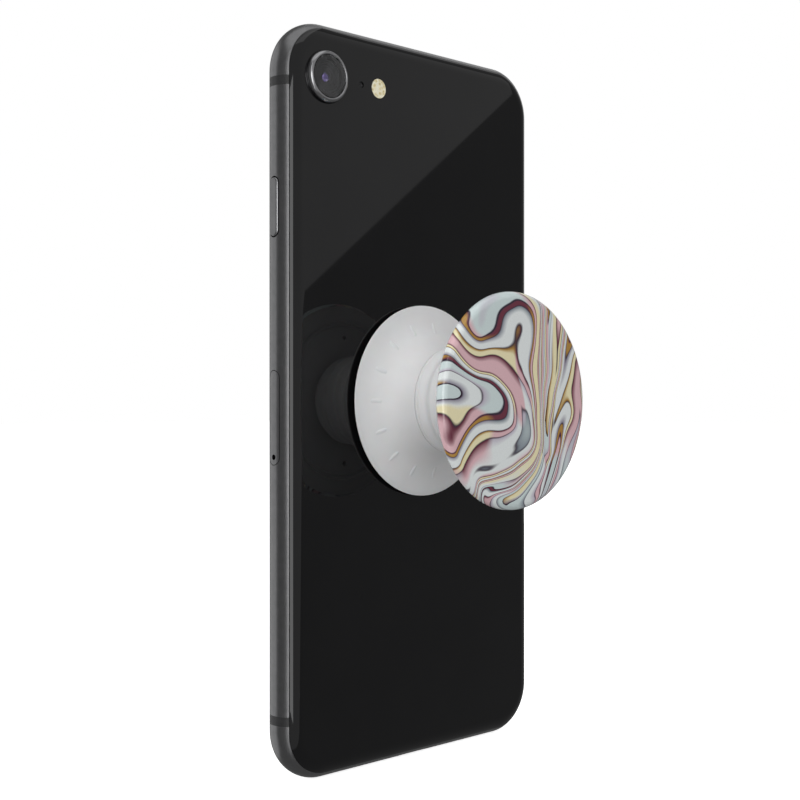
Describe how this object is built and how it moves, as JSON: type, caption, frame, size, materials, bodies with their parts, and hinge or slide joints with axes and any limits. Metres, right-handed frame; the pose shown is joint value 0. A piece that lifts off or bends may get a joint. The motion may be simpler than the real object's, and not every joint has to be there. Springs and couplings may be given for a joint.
{
  "type": "smartphone",
  "caption": "Slab smartphone with black glass faces, a rounded dark metal frame and side keys, with an extended folding round finger grip bonded to its back.",
  "frame": {"origin": "centre of the display glass's outer face", "axes": "+Z towards the phone's top end, +Y from the display to the back, +X to the right as seen from the display side"},
  "size_m": [0.0678, 0.0322, 0.1384],
  "materials": {
    "frame": "dark grey, bead-blasted and anodised",
    "band": "dark grey moulded plastic",
    "glass_black": "polished glass over a black backing",
    "camera_glass": "coated lens glass",
    "steel": "thin stamped sheet",
    "plastic_black": "fine matte black",
    "display_stack": "black display module",
    "board": "green circuit board",
    "cell": "black foil pouch",
    "copper": "varnished copper wire",
    "flash": "clear window over a yellow emitter",
    "card": "white card",
    "mass": "dense grey metal",
    "adhesive": "thin tacky pad",
    "grip_white": "satin white",
    "grip_soft": "satin white elastomer",
    "marble_print": "glossy print of a marbled pattern under a clear coat"
  },
  "bodies": {
    "root": {"frame_top": "frame", "frame_bottom": "frame", "frame_rail_left": "frame", "frame_rail_right": "frame", "antenna_band_top_left": "band", "antenna_band_top_right": "band", "antenna_band_bottom_left": "band", "antenna_band_bottom_right": "band", "back_glass": "glass_black", "display_glass": "glass_black", "display_gasket": "plastic_black", "lcd_panel": "display_stack", "display_shield": "steel", "home_button_ring": "frame", "home_button": "glass_black", "home_button_bracket": "steel", "earpiece_mesh": "plastic_black", "earpiece_speaker": "steel", "front_camera": "camera_glass", "camera_ring": "frame", "camera_cover_glass": "camera_glass", "camera_module": "plastic_black", "flash_window": "flash", "flash_led": "flash", "rear_microphone": "plastic_black", "midplate": "steel", "charging_coil": "copper", "power_switch": "steel", "volume_up_switch": "steel", "volume_down_switch": "steel", "ring_switch_base": "steel", "sim_reader": "steel", "sim_lever_pivot": "steel", "logic_board": "board", "board_shield": "steel", "battery": "cell", "haptic_case": "steel", "loudspeaker": "plastic_black", "charge_port": "steel", "screw_left": "steel", "screw_right": "steel", "speaker_mesh_left": "plastic_black", "speaker_mesh_right": "plastic_black", "grip_adhesive": "adhesive", "grip_base": "grip_white", "grip_lower_cone": "grip_soft"},
    "power_button": {"power_button": "frame"},
    "volume_up": {"volume_up_button": "frame"},
    "volume_down": {"volume_down_button": "frame"},
    "ring_switch": {"ring_switch": "frame"},
    "sim_tray": {"sim_tray": "frame", "sim_card": "card"},
    "sim_eject_pin": {"sim_eject_pin": "steel"},
    "sim_eject_lever": {"sim_eject_lever": "steel"},
    "camera_lens": {"camera_lens_barrel": "camera_glass"},
    "haptic_mass": {"haptic_mass": "mass"},
    "grip_neck": {"grip_neck_ring": "grip_white", "grip_upper_cone": "grip_soft"},
    "grip_hub": {"grip_hub": "grip_white"},
    "grip_top": {"grip_top_disc": "marble_print"}
  },
  "joints": [
    {"name": "power_button_press", "type": "slide", "parent": "root", "child": "power_button", "axis": [-1, 0, 0], "range_m": [0, 0.0003], "stiffness_N_per_m": 5000, "springref_m": -0.0001},
    {"name": "volume_up_press", "type": "slide", "parent": "root", "child": "volume_up", "axis": [1, 0, 0], "range_m": [0, 0.0003], "stiffness_N_per_m": 5000, "springref_m": -0.0001},
    {"name": "volume_down_press", "type": "slide", "parent": "root", "child": "volume_down", "axis": [1, 0, 0], "range_m": [0, 0.0003], "stiffness_N_per_m": 5000, "springref_m": -0.0001},
    {"name": "ring_switch_slide", "type": "slide", "parent": "root", "child": "ring_switch", "axis": [0, 1, 0], "range_m": [0, 0.0012]},
    {"name": "sim_tray_slide", "type": "slide", "parent": "root", "child": "sim_tray", "axis": [1, 0, 0], "range_m": [0, 0.017]},
    {"name": "sim_eject_push", "type": "slide", "parent": "root", "child": "sim_eject_pin", "axis": [-1, 0, 0], "range_m": [0, 0.0008]},
    {"name": "sim_eject_lever_turn", "type": "hinge", "parent": "root", "child": "sim_eject_lever", "pos_m": [0.01575, 0.00345, -0.00761], "axis": [0, 1, 0], "range_deg": [0, 18.4]},
    {"name": "camera_focus", "type": "slide", "parent": "root", "child": "camera_lens", "axis": [0, 1, 0], "range_m": [0, 0.0003], "stiffness_N_per_m": 200},
    {"name": "haptic_slide", "type": "slide", "parent": "root", "child": "haptic_mass", "axis": [1, 0, 0], "range_m": [-0.0008, 0.0008], "stiffness_N_per_m": 2500},
    {"name": "grip_lower_fold", "type": "slide", "parent": "root", "child": "grip_neck", "axis": [0, -1, 0], "range_m": [0, 0.0064], "deforming": ["grip_lower_cone"]},
    {"name": "grip_upper_fold", "type": "slide", "parent": "grip_neck", "child": "grip_hub", "axis": [0, -1, 0], "range_m": [0, 0.0119], "deforming": ["grip_upper_cone"]},
    {"name": "grip_top_turn", "type": "hinge", "parent": "grip_hub", "child": "grip_top", "pos_m": [0, 0.0292, 0], "axis": [0, 1, 0], "range_deg": [0, 90]}
  ],
  "couplings": [
    {"joint": "sim_eject_lever_turn", "follows": "sim_eject_push", "rad_per_m": 400}
  ]
}
